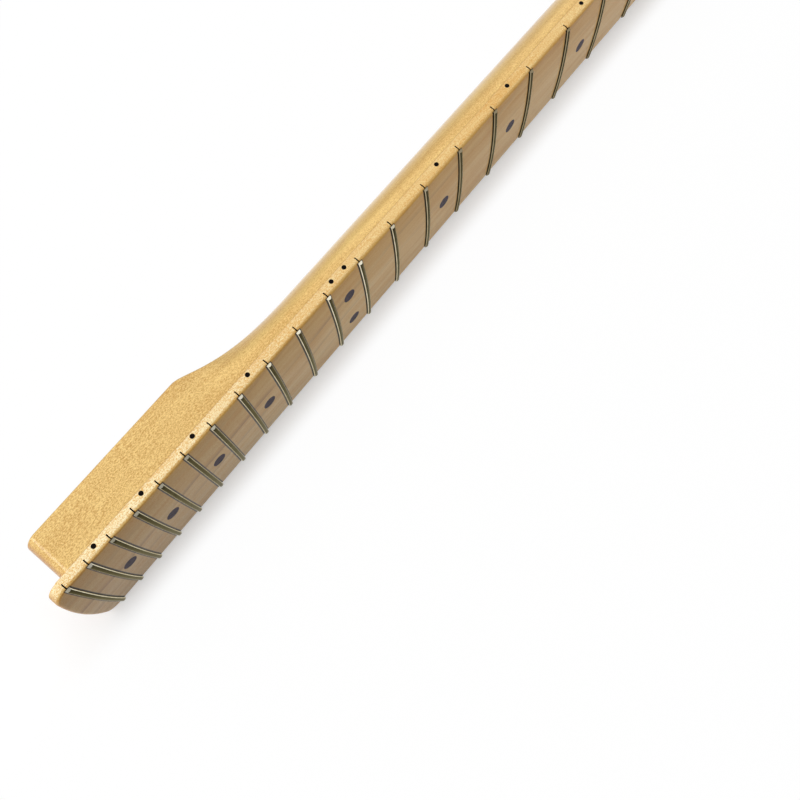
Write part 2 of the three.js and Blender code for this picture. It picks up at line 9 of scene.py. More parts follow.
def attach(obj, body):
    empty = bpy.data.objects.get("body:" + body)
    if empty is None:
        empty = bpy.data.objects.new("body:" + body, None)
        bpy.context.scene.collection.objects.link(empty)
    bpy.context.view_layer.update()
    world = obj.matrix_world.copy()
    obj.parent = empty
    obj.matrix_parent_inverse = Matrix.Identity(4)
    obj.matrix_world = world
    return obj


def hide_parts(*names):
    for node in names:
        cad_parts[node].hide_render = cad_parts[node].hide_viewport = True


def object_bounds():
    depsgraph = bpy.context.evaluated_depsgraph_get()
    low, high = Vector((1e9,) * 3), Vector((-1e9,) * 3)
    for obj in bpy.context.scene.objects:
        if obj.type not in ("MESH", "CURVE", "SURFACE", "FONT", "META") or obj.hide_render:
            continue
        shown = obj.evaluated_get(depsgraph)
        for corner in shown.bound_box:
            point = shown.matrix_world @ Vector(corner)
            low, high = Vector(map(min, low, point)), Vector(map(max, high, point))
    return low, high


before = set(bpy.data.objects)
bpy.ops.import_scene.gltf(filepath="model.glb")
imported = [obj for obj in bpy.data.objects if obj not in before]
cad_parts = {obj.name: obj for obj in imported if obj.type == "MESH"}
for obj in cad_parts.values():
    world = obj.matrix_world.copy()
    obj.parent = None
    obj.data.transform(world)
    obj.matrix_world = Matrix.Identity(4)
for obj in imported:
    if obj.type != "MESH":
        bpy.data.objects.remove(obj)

CAD_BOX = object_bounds()
MM = 0.001

# Fingerboard
SCALE_LENGTH = 647.7
FRETS = 22
NUT_WIDTH = 42
LAST_FRET_WIDTH = 56
BOARD_RADIUS = 241.3
BOARD_THICKNESS = 6.2
BOARD_ROLL = 1.5
OVERHANG = 7.4
OVERHANG_ROLL = 0.5

# Neck
HEEL_PAST_LAST_FRET = 1.55
HEEL_END_TO_ORIGIN = 38
HEEL_DEPTH = 25.4
HEEL_FLAT = 81.5
HEEL_EDGE = 1.2
SWEEP_LENGTH = 52
SWEEP_LEAD = 2
SWEEP_SOFTNESS = 0.06
SWEEP_CURVE = 1.45
SWEEP_SQUARENESS = 2.75
DEPTH_AT_NUT = 20.8
DEPTH_AT_TWELFTH = 21.9
END_ARC = 158
END_CORNER = 6.5

# Headstock; the section turns square between the two places past the nut
HEAD_FACE = 8
HEAD_BACK = 22.3
HEAD_EDGE = 2
HEAD_ROLL = 1.5
HEAD_ROLL_BEFORE_COVE = 4
HEAD_ROLL_PAST_COVE = 6
HEAD_SQUARING = (-28, 10)
COVE_RADIUS = 14
STRINGS = 6
TUNER_HOLE = 5
FIRST_TUNER = (40, 20.5)
LAST_TUNER = (162.5, -7)
TUNER_EDGE = 12.8
HEAD_LENGTH = 186
TIP_HEIGHT = -9

# Bends of the headstock's outline, as shares of the length or height that they span
FLARE_BEND = 0.45
BASS_NOSE = 0.6
SWELL_START = 0.16
SWELL_END = 0.26
WIDEST = 0.46
WIDEST_END = 0.86
TREBLE_NOSE = 0.8

# Nut
NUT_THICKNESS = 3.3
NUT_BELOW = 3
NUT_ABOVE = 1.7
NUT_SLOPE = 0.35
NUT_LEDGE = 3
STRING_SPREAD = 35
THICK_STRING_SLOT = 0.65
THIN_STRING_SLOT = 0.35

# Fret wire
CROWN_WIDTH = 2.1
CROWN_HEIGHT = 1
CROWN_FOOT = 0.06
CROWN_FULLNESS = 0.75
TANG_THICKNESS = 0.5
TANG_TOP = 0.5
TANG_DEPTH = 2.6
FRET_END_LEAN = math.radians(33)
FRET_END_INSET = 0.35
FRET_END_EDGE = 0.1
TANG_INSET = 3.5

# Dots
SINGLE_DOTS = (3, 5, 7, 9, 15, 17, 19, 21)
FACE_DOT = 3.15
FACE_DOT_DEPTH = 2
FACE_PAIR = 11.2
SIDE_DOT = 1.0
SIDE_DOT_DEPTH = 3
SIDE_DOT_SHORT = 0.1
SIDE_DOT_BELOW_EDGE = 3.2
SIDE_PAIR = 3.9

# Stripe, truss rod and the bore and groove for its key
STRIPE_WIDTH = 6.7
STRIPE_START = 57.5
STRIPE_END = 408
STRIPE_FLOOR = 17.9
ROD_DEPTH_AT_ENDS = 11.8
KEY_BORE = 4.6
KEY_BORE_BEFORE_NUT = 8
KEY_GROOVE_END = 35.4

# Clearance round what is let in, how near a face's corners lie to the cut that it belongs to, and
# how far cutting tools reach beyond the wood
SEAM = 0.02
TOUCH = 0.05
CLEAR_ABOVE = 5
CLEAR_BESIDE = 40
BEYOND_BACK = 30


def fret_from_nut(n):
    return SCALE_LENGTH * (1 - 2 ** (-n / 12))


def between_frets(n):
    return (fret_from_nut(n) + fret_from_nut(n - 1)) / 2


HEEL_REACH = fret_from_nut(FRETS) + HEEL_PAST_LAST_FRET
BOARD_REACH = HEEL_REACH + OVERHANG
NUT_X = HEEL_REACH - HEEL_END_TO_ORIGIN
COVE_RUN = math.sqrt(COVE_RADIUS ** 2 - (COVE_RADIUS - HEAD_FACE) ** 2)
COVE_CENTRE = NUT_THICKNESS + NUT_LEDGE + COVE_RUN


def spot(from_nut, depth, across):
    return Vector((NUT_X - from_nut, depth - HEEL_DEPTH, across)) * MM


def half_width(from_nut):
    return (NUT_WIDTH + (LAST_FRET_WIDTH - NUT_WIDTH) * from_nut / fret_from_nut(FRETS)) / 2


def board_drop(across):
    return BOARD_RADIUS - math.sqrt(BOARD_RADIUS ** 2 - across ** 2)


def cove_depth(past_nut):
    """How deep the step behind the nut has cut, down to the headstock's face."""
    short = COVE_CENTRE - past_nut
    if short <= 0:
        return HEAD_FACE
    if short >= COVE_RADIUS:
        return -COVE_RADIUS
    return HEAD_FACE - COVE_RADIUS + math.sqrt(COVE_RADIUS ** 2 - short ** 2)


def mix(a, b, share):
    return a + (b - a) * share


def steps(start, end, count):
    """count evenly spaced values from start, without end."""
    return [mix(start, end, i / count) for i in range(count)]


def ease(value, low, high):
    share = min(max((value - low) / (high - low), 0), 1)
    return share * share * (3 - 2 * share)


TUNERS = [[mix(FIRST_TUNER[k], LAST_TUNER[k], i / (STRINGS - 1)) for k in (0, 1)] for i in range(STRINGS)]


# Outlines seen from the back. A stop is a place on the edge with the direction that faces out
# of it: (from nut, across, outward from nut, outward across).

def end_corner(reach):
    """Where the rounded corner of a square end has its middle, and how far round the end it starts."""
    side = half_width(reach - END_CORNER) - END_CORNER
    lean = math.asin(side / (END_ARC - END_CORNER))
    return reach - END_ARC + (END_ARC - END_CORNER) * math.cos(lean), side, lean


def square_end(reach):
    """The bass half of a square end with rounded corners, from its middle to its side."""
    corner, side, lean = end_corner(reach)
    arcs = ((reach - END_ARC, 0, END_ARC, steps(0, lean, 12)),
            (corner, side, END_CORNER, steps(lean, math.pi / 2, 12)))
    stops = []
    for place, across, radius, turns in arcs:
        for turn in turns:
            along, out = math.cos(turn), math.sin(turn)
            stops.append((place + radius * along, across + radius * out, along, out))
    return stops


def straight_side(places):
    return [(place, half_width(place), 0, 1) for place in places]


def mirrored(stop):
    place, across, out_along, out_across = stop
    return place, -across, out_along, -out_across


def bend(corners, count):
    """Points along a cubic curve, as (past the nut, across)."""
    points = []
    for i in range(count + 1):
        t = i / count
        weights = ((1 - t) ** 3, 3 * t * (1 - t) ** 2, 3 * t * t * (1 - t), t ** 3)
        points.append(tuple(sum(w * c[k] for w, c in zip(weights, corners)) for k in (0, 1)))
    return points


def head_sides():
    """
    The headstock's bass and treble sides from the nut to the tip, the same curves as the solid's,
    and where the straight edge beside the tuners ends.
    """
    start = NUT_WIDTH / 2
    swell = half_width(BOARD_REACH - END_CORNER)
    first, last = Vector(FIRST_TUNER), Vector(LAST_TUNER)
    run = (last - first).normalized()
    out = Vector((-run.y, run.x)) * TUNER_EDGE
    edge_start, edge_end = first + out, last + out
    nose = run * (HEAD_LENGTH - edge_end.x) * BASS_NOSE
    flare = edge_start.x * FLARE_BEND
    tip = (HEAD_LENGTH, TIP_HEIGHT)
    widest = (HEAD_LENGTH * WIDEST, -swell)
    bass = bend([(0, start), (flare, start), edge_start - run * flare, edge_start], 60)
    bass += bend([edge_end, edge_end + nose, (HEAD_LENGTH, mix(TIP_HEIGHT, edge_end.y, BASS_NOSE)), tip], 90)
    treble = bend([(0, -start), (HEAD_LENGTH * SWELL_START, -start), (HEAD_LENGTH * SWELL_END, -swell), widest], 60)
    treble += bend([widest, (HEAD_LENGTH * WIDEST_END, -swell),
                    (HEAD_LENGTH, mix(TIP_HEIGHT, -swell, TREBLE_NOSE)), tip], 120)[1:]
    return bass, treble, edge_end.x


def side_stop(side, past_nut, outward):
    """The stop where one of the headstock's sides is past_nut from the nut."""
    at = next((i for i in range(1, len(side)) if side[i][0] >= past_nut), len(side) - 1)
    (x0, z0), (x1, z1) = side[at - 1], side[at]
    run = Vector((x1 - x0, z1 - z0)).normalized()
    across = mix(z0, z1, min((past_nut - x0) / (x1 - x0), 1))
    return -past_nut, across, run.y * outward, run.x * outward


# Cross-sections of the neck

def corner_reach(turn, half, depth, edge):
    """How far a square section with a rounded corner reaches in one direction."""
    across, down = math.cos(turn), math.sin(turn)
    if down * half <= across * (depth - edge):
        return half / across
    if across * depth <= down * (half - edge):
        return depth / down
    towards = across * (half - edge) + down * (depth - edge)
    return towards + math.sqrt(towards ** 2 - (half - edge) ** 2 - (depth - edge) ** 2 + edge ** 2)


def quarter(half, depth, squareness, edge):
    """Points from the top of the side to the middle of the back, as (inset from the side, down)."""
    edge_start = math.atan2(depth - edge, half)
    edge_end = math.atan2(depth, half - edge)
    points = []
    for turn in steps(0, edge_start, 8) + steps(edge_start, edge_end, 8) + steps(edge_end, math.pi / 2, 20):
        round_reach = 1 / math.hypot(math.cos(turn) / half, math.sin(turn) / depth)
        reach = mix(round_reach, corner_reach(turn, half, depth, edge), squareness)
        points.append((half - reach * math.cos(turn), reach * math.sin(turn)))
    return points


def shaft_depth(from_nut):
    return mix(DEPTH_AT_NUT, DEPTH_AT_TWELFTH, from_nut / fret_from_nut(12))


def inside(stop, inset, rim, middle, share):
    """The place that lies inset from an edge, or beyond the rim, a share of the way to the middle."""
    place, across, out_along, out_across = stop
    if inset <= rim:
        return place - out_along * inset, across - out_across * inset
    inner = Vector((place - out_along * rim, across - out_across * rim))
    return tuple(middle.lerp(inner, share))


def neck_ring(bass, treble, depth, squareness, edge, top=BOARD_THICKNESS, roll=0.0):
    """One closed cross-section of the neck, round from the middle of its top over the bass side."""
    half = max((bass[1] - treble[1]) / 2, 4 * edge)
    rim = max(edge, roll)
    middle = sum((Vector(inside(stop, rim, rim, None, 1)) for stop in (bass, treble)), Vector((0, 0))) / 2
    profile = [(half * (1 - share) + rim * share, top) for share in steps(0, 1, 5)]
    for turn in steps(0, math.pi / 2, 6):
        profile.append((roll * (1 - math.sin(turn)), top + roll * (1 - math.cos(turn))))
    for inset, down in quarter(half, depth - BOARD_THICKNESS, squareness, edge):
        profile.append((inset, max(BOARD_THICKNESS + down, top + roll)))
    ring = []
    for stop in (bass, treble):
        run = []
        for inset, deep in profile:
            place, across = inside(stop, inset, rim, middle, (half - inset) / (half - rim))
            run.append(spot(place, deep, across))
        ring.append(run)
    back = spot(middle.x, depth, middle.y)
    return ring[0] + [back] + ring[1][:0:-1]


def neck_rings():
    """Cross-sections from the end of the heel to the tip of the headstock."""
    rings = []
    flat_from = HEEL_REACH - HEEL_FLAT + SWEEP_LEAD
    shaft_from = flat_from - SWEEP_LEAD - SWEEP_LENGTH
    for stop in square_end(HEEL_REACH) + straight_side(steps(end_corner(HEEL_REACH)[0], flat_from, 10)):
        rings.append(neck_ring(stop, mirrored(stop), HEEL_DEPTH, 1, HEEL_EDGE))
    for stop in straight_side(steps(flat_from, shaft_from, 60)):
        done = (flat_from - stop[0]) / (flat_from - shaft_from)
        late = SWEEP_SOFTNESS * (1 - math.exp(-done / SWEEP_SOFTNESS))
        left = max(1 - (done - late) / (1 - SWEEP_SOFTNESS), 0)
        depth = mix(shaft_depth(stop[0]), HEEL_DEPTH, left ** SWEEP_CURVE)
        rings.append(neck_ring(stop, mirrored(stop), depth, left ** SWEEP_SQUARENESS, HEEL_EDGE))
    squaring_from, squaring_to = HEAD_SQUARING
    for stop in straight_side(steps(shaft_from, -squaring_from, 48)):
        rings.append(neck_ring(stop, mirrored(stop), shaft_depth(stop[0]), 0, HEEL_EDGE))
    bass_side, treble_side, edge_end = head_sides()
    flare_end = 60
    places = steps(squaring_from, squaring_to, 26) + steps(squaring_to, COVE_CENTRE, 14)
    places += steps(COVE_CENTRE, flare_end, 24) + steps(flare_end, edge_end, 40)
    places += [p[0] for p in bass_side if p[0] >= edge_end][::3]
    for past in places:
        if past <= 0:
            bass = straight_side([-past])[0]
            treble = mirrored(bass)
        else:
            bass = side_stop(bass_side, past, 1)
            treble = side_stop(treble_side, past, -1)
        blend = ease(past, squaring_from, squaring_to)
        depth = mix(shaft_depth(-past), HEAD_BACK, blend)
        edge = mix(HEEL_EDGE, HEAD_EDGE, blend)
        top = max(BOARD_THICKNESS, cove_depth(past))
        roll = HEAD_ROLL * ease(past, COVE_CENTRE - HEAD_ROLL_BEFORE_COVE, COVE_CENTRE + HEAD_ROLL_PAST_COVE)
        rings.append(neck_ring(bass, treble, depth, blend, edge, top, roll))
    return rings


# Making pieces

def skin(rings):
    """A sheet of faces wrapped over closed cross-sections; its ends close where they shrink to a line."""
    around = len(rings[0])
    bm = bmesh.new()
    bmesh.ops.create_grid(bm, x_segments=len(rings) - 1, y_segments=around, size=1)
    for vert in bm.verts:
        ring = rings[round((vert.co.x + 1) / 2 * (len(rings) - 1))]
        vert.co = ring[round((vert.co.y + 1) / 2 * around) % around]
    bmesh.ops.remove_doubles(bm, verts=bm.verts, dist=0.0015 * MM)
    rim = [edge for edge in bm.edges if edge.is_boundary]
    if rim:
        bmesh.ops.holes_fill(bm, edges=rim, sides=0)
    bmesh.ops.recalc_face_normals(bm, faces=bm.faces)
    return bm


def mesh_object(name, bm):
    mesh = bpy.data.meshes.new(name)
    bm.to_mesh(mesh)
    bm.free()
    piece = bpy.data.objects.new(name, mesh)
    bpy.context.scene.collection.objects.link(piece)
    return piece


def bar(radius, start, end, segments=48):
    """A round bar between two places, as a bmesh."""
    bm = bmesh.new()
    run = end - start
    turn = run.to_track_quat("Z", "Y").to_matrix().to_4x4()
    bmesh.ops.create_cone(bm, cap_ends=True, segments=segments, radius1=radius * MM, radius2=radius * MM,
                          depth=run.length, matrix=Matrix.Translation((start + end) / 2) @ turn)
    return bm


def block(low, high):
    """A block between two corners, as a bmesh."""
    bm = bmesh.new()
    size = [abs(b - a) for a, b in zip(low, high)]
    place = Matrix.Translation((low + high) / 2)
    bmesh.ops.create_cube(bm, size=1, matrix=place @ Matrix.Diagonal((*size, 1)))
    return bm


def combine(piece, tool, operation="DIFFERENCE"):
    """Cuts a piece with a tool, or keeps what lies in both, and removes the tool."""
    cutter = mesh_object("cutter", tool)
    change = piece.modifiers.new("cut", "BOOLEAN")
    change.operation = operation
    change.solver = "MANIFOLD"
    change.object = cutter
    bpy.context.view_layer.update()
    shaped = bpy.data.meshes.new_from_object(piece.evaluated_get(bpy.context.evaluated_depsgraph_get()))
    piece.modifiers.clear()
    piece.data = shaped
    bpy.data.objects.remove(cutter)


def joined(parts):
    """Several separate bmeshes as one."""
    whole = bmesh.new()
    for part in parts:
        mesh = bpy.data.meshes.new("part")
        part.to_mesh(mesh)
        part.free()
        whole.from_mesh(mesh)
        bpy.data.meshes.remove(mesh)
    return whole


def finished(piece, material, node, sharp=32):
    """Smooth shading, material and place in the frame for a piece that stands for a CAD node."""
    piece.data.materials.clear()
    piece.data.materials.append(material)
    piece.data.shade_smooth()
    piece.data.set_sharp_from_angle(angle=math.radians(sharp))
    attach(piece, "neck")
    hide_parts(node)


def relined(piece, material, lined):
    """Gives a second material to the faces whose corners, in millimetres, pass a test."""
    piece.data.materials.append(material)
    for face in piece.data.polygons:
        if lined([piece.data.vertices[i].co / MM for i in face.vertices]):
            face.material_index = 1


# Materials

SMOOTH = {"interpolation_type": "SMOOTHSTEP"}


def linear(hexcode):
    """A colour written in sRGB hex as linear red, green, blue and alpha."""
    parts = [int(hexcode[i:i + 2], 16) / 255 for i in (1, 3, 5)]
    return (*[p / 12.92 if p <= 0.04045 else ((p + 0.055) / 1.055) ** 2.4 for p in parts], 1)


def wire(node, inputs):
    """
    Fills a node's inputs, by name or in order. Each is given a value, a colour in hex, an output,
    or a node, which stands for its first output in use.
    """
    for socket, value in inputs.items() if isinstance(inputs, dict) else enumerate(inputs):
        if isinstance(value, bpy.types.Node):
            value = next(output for output in value.outputs if output.enabled)
        if isinstance(value, bpy.types.NodeSocket):
            node.id_data.links.new(value, node.inputs[socket])
        else:
            node.inputs[socket].default_value = linear(value) if isinstance(value, str) else value
    return node


def add_node(tree, kind, inputs=(), **settings):
    """Adds a node with its settings and inputs. Each Mix is one of colours: 0 is its share, 6 and 7 the colours."""
    node = tree.nodes.new("ShaderNode" + kind)
    if kind == "Mix":
        node.data_type = "RGBA"
    for name, value in settings.items():
        setattr(node, name, value)
    return wire(node, inputs)


def surface(name, **values):
    """A new material; returns it, what adds nodes to it, and its shader with the given socket values."""
    material = bpy.data.materials.new(name)
    material.use_nodes = True
    shader = material.node_tree.nodes["Principled BSDF"]
    wire(shader, {socket.replace("_", " "): value for socket, value in values.items()})
    return material, partial(add_node, material.node_tree), shader


def growth_lines(add, x, y, z, flat, pith, lean, lean_until, drift_across, ring, line_strength):
    """
    Growth rings as thin lines round the trunk's middle line, and the space that they lie in.
    pith is where that line passes at the origin, in y and across; lean is its slope.
    """
    # The trunk's middle line runs out of the neck towards the heel and turns level before the shaft
    heelward = add("Math", (x, lean_until, 0.02), operation="SMOOTH_MIN")
    rise = add("Math", (heelward, lean, pith[0]), operation="MULTIPLY_ADD")
    deep = add("Math", (y, rise), operation="SUBTRACT")
    sideways = add("Math", (x, drift_across, pith[1]), operation="MULTIPLY_ADD")
    aside = add("Math", (z, sideways), operation="SUBTRACT")
    log = add("CombineXYZ", (x, deep, aside))
    # Each ring wanders by part of its width every 60 mm; its dark last part is the line
    scale = 2 * math.pi / (20 * ring)
    rings = add("TexWave", {"Vector": log, "Scale": scale, "Distortion": 2.4, "Detail": 3.0,
                            "Detail Scale": 1 / (0.06 * scale), "Detail Roughness": 0.45},
                wave_type="RINGS", rings_direction="X", wave_profile="SAW")
    late = add("MapRange", {"Value": rings.outputs["Fac"], "From Min": 0.66, "From Max": 1.0}, **SMOOTH)
    # Some rings are plain to see and others nearly fade, and each comes and goes over 30 mm
    cross = add("CombineXYZ", {1: deep, 2: aside})
    radius = add("VectorMath", (cross,), operation="LENGTH")
    year = add("TexNoise", {"W": radius, "Scale": 1 / (2.5 * ring), "Detail": 1.0}, noise_dimensions="1D")
    bold = add("MapRange", {"Value": year, "From Min": 0.42, "From Max": 0.62, "To Min": 0.3}, **SMOOTH)
    patch = add("TexNoise", {"Vector": log, "Scale": 1 / 0.03, "Detail": 1.0})
    fade = add("MapRange", {"Value": patch, "From Min": 0.35, "From Max": 0.55, "To Min": 0.25}, **SMOOTH)
    # The lines are plain at the heel and on the headstock, and faint between them
    middle = add("Math", (x, 0.27), operation="SUBTRACT")
    from_middle = add("Math", (middle,), operation="ABSOLUTE")
    plain = add("MapRange", {"Value": from_middle, "From Min": 0.12, "From Max": 0.19, "To Min": 0.35}, **SMOOTH)
    # They hardly show on the sides, where they are cut square across
    shown = add("MapRange", {"Value": flat, "From Min": 0.15, "From Max": 0.75,
                             "To Min": 0.1 * line_strength, "To Max": line_strength}, **SMOOTH)
    lines = late
    for share in (fade, bold, plain, shown):
        lines = add("Math", (lines, share), operation="MULTIPLY")
    return lines


def shaded_fretted_face(add, color, x, z, flat):
    """The fretted face of the board: painted shade that makes it darker than the edge, and dark lines along the frets.
    """
    # The face is painted darker than the edge as shade, most towards the heel, and yellower still on the bass side
    headward = add("MapRange", {"Value": x, "From Min": -0.03, "From Max": 0.13})
    brown = add("Mix", {0: headward, 6: "#cfbca2", 7: "#fff4dc"})
    face = add("MapRange", {"Value": flat, "From Min": 0.6, "From Max": 0.9}, **SMOOTH)
    shaded_face = add("Mix", {0: face, 6: color, 7: brown}, blend_type="MULTIPLY")
    bassward = add("MapRange", {"Value": z, "From Min": 0.002, "From Max": 0.026})
    bass = add("Math", (bassward, face), operation="MULTIPLY")
    bass_shaded = add("Mix", {0: bass, 6: shaded_face, 7: "#f0e3b8"}, blend_type="MULTIPLY")
    # A dark line 0.5 mm wide runs along both sides of each fret: partly lacquer and dirt that gather there and
    # partly painted shade at the fret's foot. The share of the scale length that is left gives a fret number,
    # and how far that is from a whole number, times the share, grows with the distance from the fret
    left = add("Math", (x, 1 / (SCALE_LENGTH * MM), 1 - NUT_X / SCALE_LENGTH), operation="MULTIPLY_ADD")
    number = add("Math", (left, 2 ** (-1 / 12)), operation="LOGARITHM")
    nearest = add("Math", (number,), operation="ROUND")
    gap = add("Math", (number, nearest), operation="SUBTRACT")
    off = add("Math", (gap,), operation="ABSOLUTE")
    away = add("Math", (off, left), operation="MULTIPLY")
    fret_step = SCALE_LENGTH * math.log(2) / 12
    line_start, line_end = ((CROWN_WIDTH / 2 + width) / fret_step for width in (0.4, 0.6))
    beside = add("MapRange", {"Value": away, "From Min": line_start, "From Max": line_end,
                              "To Min": 0.97, "To Max": 0.0}, **SMOOTH)
    past_nut = add("Math", (number, 0.5), operation="GREATER_THAN")
    grime_and_shade = beside
    for share in (face, past_nut):
        grime_and_shade = add("Math", (grime_and_shade, share), operation="MULTIPLY")
    return add("Mix", {0: grime_and_shade, 6: bass_shaded, 7: "#20160a"})


def maple(name, light, dark, pale, amber, line, end_grain, fleck_mm, fleck_contrast, streak_mm, seam, coat,
          deepening=0.0, fretted=False, **growth):
    """
    Hard maple under a clear gloss lacquer that has turned amber. The eye gets a warm pale ground
    with a slow drift of tone, growth rings as thin tan lines that arch where the cut runs out of
    them, short flecks all over, darker open ends of the grain, and a mirror-smooth clear skin.
    """
    material, add, shader = surface(name, Coat_Weight=coat, Coat_Roughness=0.07,
                                    Coat_IOR=1.5, Specular_IOR_Level=0.2)
    coords = add("TexCoord")
    place = coords.outputs["Object"]
    x, y, z = add("SeparateXYZ", (place,)).outputs
    facing_x, facing_y, _ = add("SeparateXYZ", (coords.outputs["Normal"],)).outputs
    flat = add("Math", (facing_y,), operation="ABSOLUTE")
    lines = growth_lines(add, x, y, z, flat, **growth)
    # Tone drifts in streaks ten times as long as they are wide, with finer streaks inside
    slow = add("Mapping", {"Vector": place, "Scale": (0.1, 1, 1)})
    drift = add("TexNoise", {"Vector": slow, "Scale": 1 / (streak_mm * MM), "Detail": 3.0, "Roughness": 0.55})
    # Flecks are really 0.3 mm across; drawn coarser so that they show
    short = add("Mapping", {"Vector": place, "Rotation": (0, 0, 0.35), "Scale": (0.6, 1, 1)})
    fleck = add("TexNoise", {"Vector": short, "Scale": 1 / (fleck_mm * MM), "Detail": 2.0, "Roughness": 0.65})
    # Fibres run with the grain, really 0.1 mm wide; drawn at 0.5 mm
    long = add("Mapping", {"Vector": place, "Scale": (0.03, 1, 1)})
    fibre = add("TexNoise", {"Vector": long, "Scale": 1 / 0.0005, "Detail": 2.0, "Roughness": 0.6})
    # Flecks are strongest on the sides, where the cut runs along the rays of the wood, and near the heel
    contrast = add("MapRange", {"Value": flat, "From Min": 0.3, "From Max": 0.9,
                                "To Min": fleck_contrast, "To Max": 1.5})
    fewer = add("MapRange", {"Value": x, "From Max": 0.12, "To Min": 1.0, "To Max": 0.55})
    strength = add("Math", (contrast, fewer), operation="MULTIPLY")
    crisp = add("Math", (fleck, 0.5), operation="SUBTRACT")
    flecks = add("Math", (crisp, strength), operation="MULTIPLY")
    streaks = add("Math", (drift, 1.15, flecks), operation="MULTIPLY_ADD")
    tone = add("Math", (fibre, 0.5, streaks), operation="MULTIPLY_ADD")
    share = add("MapRange", {"Value": tone, "From Min": 0.3, "From Max": 1.35})
    # Surfaces that face straight back or forward are painted paler than the sides: painted light
    level = add("MapRange", {"Value": flat, "From Min": 0.85, "From Max": 1.0}, **SMOOTH)
    clear = add("Mix", {0: level, 6: light, 7: pale})
    ground = add("Mix", {0: share, 6: dark, 7: clear})
    ringed = add("Mix", {0: lines, 6: ground, 7: line})
    # The open ends of the grain drink more lacquer and turn darker
    along = add("Math", (facing_x,), operation="ABSOLUTE")
    ends = add("MapRange", {"Value": along, "From Min": 0.45, "From Max": 0.95}, **SMOOTH)
    open_grain = add("Mix", {0: share, 6: end_grain, 7: dark})
    cut = add("Mix", {0: ends, 6: ringed, 7: open_grain})
    # Where the surface turns, between side and back and on the rolled edge, a deeper amber is painted as shade,
    # and the whole board also takes on a deeper amber, more and more until 190 mm from the heel's end
    turning = add("MapRange", {"Value": flat, "From Min": 0.2, "From Max": 0.55}, **SMOOTH)
    turned = add("MapRange", {"Value": flat, "From Min": 0.75, "From Max": 0.98, "To Min": 1.0,
                              "To Max": 0.0}, **SMOOTH)
    turn_shade = add("Math", (turning, turned), operation="MULTIPLY")
    headward = add("MapRange", {"Value": x, "From Max": 0.15, "To Max": deepening})
    deeper = add("Math", (turn_shade, headward), operation="MAXIMUM")
    toned = add("Mix", {0: deeper, 6: cut, 7: amber}, blend_type="MULTIPLY")
    # The glue line between neck and board is a thin darker line
    below = add("Math", (y, (BOARD_THICKNESS - HEEL_DEPTH) * MM), operation="SUBTRACT")
    near = add("Math", (below,), operation="ABSOLUTE")
    glue = add("MapRange", {"Value": near, "From Min": 0.05 * MM, "From Max": 0.3 * MM,
                            "To Min": seam, "To Max": 0.0}, **SMOOTH)
    color = add("Mix", {0: glue, 6: toned, 7: line})
    if fretted:
        color = shaded_fretted_face(add, color, x, z, flat)
    rough = add("MapRange", {"Value": share, "To Min": 0.6, "To Max": 0.42})
    # Grain under the lacquer stands 0.01 mm; the skin itself waves by 0.02 mm over 9 mm
    grain = add("Bump", {"Strength": 0.5, "Distance": 0.01 * MM, "Height": fleck})
    swell = add("TexNoise", {"Vector": place, "Scale": 1 / 0.009, "Detail": 0.0})
    skin_wave = add("Bump", {"Strength": 1.0, "Distance": 0.02 * MM, "Height": swell})
    wire(shader, {"Base Color": color, "Roughness": rough, "Normal": grain, "Coat Normal": skin_wave})
    return material


def dark_hardwood():
    """
    Close-grained dark brown hardwood, planed flush and lacquered: nearly black red-brown with
    thin lighter streaks of pores that run with the neck.
    """
    material, add, shader = surface("lacquered_dark_hardwood", Roughness=0.45, Coat_Weight=0.2,
                                    Coat_Roughness=0.07, Specular_IOR_Level=0.03)
    place = add("TexCoord").outputs["Object"]
    # Pores are 0.2 mm wide and 12 mm long; drawn at 0.45 mm so that they show
    long = add("Mapping", {"Vector": place, "Rotation": (0, 0.03, 0), "Scale": (0.035, 1, 1)})
    pores = add("TexNoise", {"Vector": long, "Scale": 1 / 0.00045, "Detail": 3.0, "Roughness": 0.6})
    streak = add("MapRange", {"Value": pores, "From Min": 0.52, "From Max": 0.74}, **SMOOTH)
    slow = add("Mapping", {"Vector": place, "Scale": (0.12, 1, 1)})
    bands = add("TexNoise", {"Vector": slow, "Scale": 1 / 0.0025, "Detail": 2.0})
    band = add("MapRange", {"Value": bands, "From Min": 0.35, "From Max": 0.65})
    ground = add("Mix", {0: band, 6: "#24060a", 7: "#3c1210"})
    color = add("Mix", {0: streak, 6: ground, 7: "#7a4030"})
    bump = add("Bump", {"Strength": 0.6, "Distance": 0.02 * MM, "Height": pores})
    wire(shader, {"Base Color": color, "Normal": bump})
    return material


